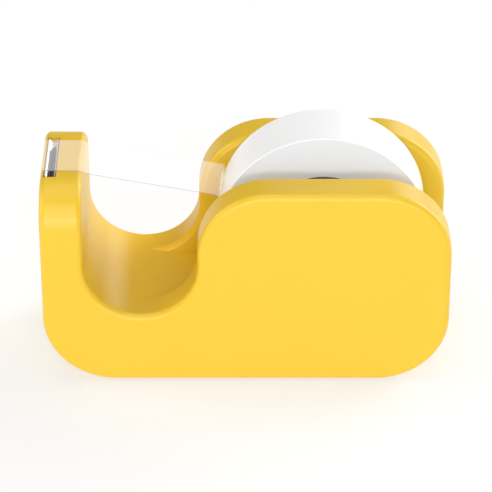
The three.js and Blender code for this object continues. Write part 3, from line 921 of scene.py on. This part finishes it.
def build_plate(name, low, high, corner, edge_round):
    """A flat plate under the body, with round corners and rounded edges."""
    half_x, half_y = (high.x - low.x) / 2, (high.y - low.y) / 2
    sections = []
    for at, inset in fillet_stations(low.z, high.z, edge_round, SMALL_STEPS):
        x, y, r = half_x - inset, half_y - inset, corner - inset
        sections.append((at, np.vstack([
            arc(-x + r, -y + r, r, 180, 270, 10), arc(x - r, -y + r, r, 270, 360, 10),
            arc(x - r, y - r, r, 0, 90, 10), arc(-x + r, y - r, r, 90, 180, 10),
        ])))
    return shade(stack(name, sections, along_z), 40)


def eased(start, first, second, end, steps):
    """Points of a cubic curve."""
    points = []
    for t in np.linspace(0, 1, steps):
        u = 1 - t
        points.append(u**3 * start + 3 * u * u * t * first + 3 * u * t * t * second + t**3 * end)
    return points


def film_line(lead):
    """The film's line from its free end: flat, over the arm's edge, straight, and down the roll.

    lead is the angle in degrees above the axle at which this line lies down on the roll.
    """
    top = (end_lo.z + end_hi.z) / 2
    hug = roll_radius + FILM_ON_ROLL
    count = FILM_POINTS
    cos, sin = math.cos(math.radians(lead)), math.sin(math.radians(lead))
    up_roll = np.array([sin, cos])
    on_roll = np.array([roll_x - hug * cos, roll_z + hug * sin])
    rise = (roll_z + CREASE_RISE - on_roll[1]) / cos
    crease = on_roll + rise * up_roll
    start = np.array([arm_inner - FILM_BEND, top])
    low = np.array([arm_inner + FILM_BEND, top - FILM_BEND_DROP])
    away = (low - crease) / np.linalg.norm(low - crease)
    flat = [np.array([x, top]) for x in np.linspace(end_lo.x, start[0], count["flat"])[:-1]]
    first = start + BEND_EASE * FILM_BEND * np.array([1, 0])
    second = low + BEND_EASE * FILM_BEND * away
    over = eased(start, first, second, low, count["over"])
    before, after = crease + CREASE_REACH * away, crease - CREASE_REACH * up_roll
    straight = [low + (before - low) * t for t in np.linspace(0, 1, count["straight"])[1:-1]]
    first = crease + CREASE_EASE * CREASE_REACH * away
    second = crease - CREASE_EASE * (crease - after)
    turn = eased(before, first, second, after, count["turn"])
    down = [after + (on_roll - after) * t for t in np.linspace(0, 1, count["down"])[1:]]
    wrap = [
        np.array([roll_x - hug * math.cos(a), roll_z + hug * math.sin(a)])
        for a in np.radians(np.linspace(lead, WRAP_END, count["wrap"]))[1:]
    ]
    return np.array(flat + over + straight + turn + down + wrap)


def build_film():
    """One closed strip of film with its cut edges in their own finish; its peel line runs skew."""
    thick, rows = FILM_THICK, FILM_ROWS
    ys = np.linspace(-tape_half, tape_half, rows + 1)
    lines = [film_line(PEEL_SKEW * ((y / tape_half + 1) / 2) ** 2) for y in ys]
    vertices, count = [], len(lines[0])
    for side in (-0.5, 0.5):
        for y, line in zip(ys, lines):
            direction = np.gradient(line, axis=0)
            direction /= np.linalg.norm(direction, axis=1)[:, None]
            for (x, z), (dx, dz) in zip(line, direction):
                vertices.append((x - side * thick * dz, y, z + side * thick * dx))

    def at(layer, row, i):
        return (layer * (rows + 1) + row) * count + i

    faces, kinds = [], []
    for row in range(rows):
        for i in range(count - 1):
            back, j = row + 1, i + 1
            faces.append([at(0, row, i), at(0, back, i), at(0, back, j), at(0, row, j)])
            faces.append([at(1, row, i), at(1, row, j), at(1, back, j), at(1, back, i)])
            kinds += [0, 0]
    for i in range(count - 1):
        j = i + 1
        faces.append([at(0, 0, i), at(0, 0, j), at(1, 0, j), at(1, 0, i)])
        faces.append([at(0, rows, i), at(1, rows, i), at(1, rows, j), at(0, rows, j)])
        kinds += [1, 1]
    last = count - 1
    for row in range(rows):
        back = row + 1
        faces.append([at(0, row, 0), at(1, row, 0), at(1, back, 0), at(0, back, 0)])
        faces.append([at(0, row, last), at(0, back, last), at(1, back, last), at(1, row, last)])
        kinds += [1, 1]
    strip = made("film", vertices, faces)
    strip.data.materials.append(film)
    strip.data.materials.append(edge)
    strip.data.polygons.foreach_set("material_index", kinds)
    strip.data.shade_smooth()
    strip.data.set_sharp_from_angle(angle=math.radians(40))
    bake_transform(strip)
    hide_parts("tape_span", "tape_end")


def dress_hidden_nodes():
    """The pieces inside keep their own shape and take their real finish.

    Of two starts that fit a name, the later one in order, which is the longer, decides.
    """
    finishes = {
        "ballast_": ballast_steel, "ballast_screw_": screw_steel, "base_screw_": screw_steel,
    }
    for name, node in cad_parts.items():
        for start in sorted(finishes):
            if name.startswith(start):
                node.data.materials.clear()
                node.data.materials.append(finishes[start])


build_studio()
build_camera()
hand_over(build_body(), "dispenser", "yellow_plastic", ["body_shell"], yellow)
hand_over(
    build_plate("underside_plate", plate_lo, plate_hi, PLATE_CORNER, PLATE_ROUND),
    "dispenser", "grey_plastic", ["base_plate"], dark_grey,
)
hand_over(
    build_plate("foam_pad", pad_lo, pad_hi, PAD_CORNER, PAD_ROUND),
    "dispenser", "pad_foam", ["nonslip_pad"], foam,
)
hand_over(build_blade(), "dispenser", "blade_steel", ["cutter_blade"], blade_steel)
hand_over(build_retainer(), "dispenser", "black_plastic", ["blade_retainer"], black)
hand_over(build_pin(), "axle", "screw_steel", ["axle_pin"], screw_steel)
hand_over(build_hub(-1), "reel", "hub_nylon", ["hub_front"], nylon)
hand_over(build_hub(1), "reel", "hub_nylon", ["hub_rear"], nylon)
hand_over(build_core(), "reel", "core_board", ["tape_core"], core_board)
hand_over(build_roll(), "reel", "rolled_film", ["tape_roll"], roll_sides, roll_face)
build_film()
dress_hidden_nodes()
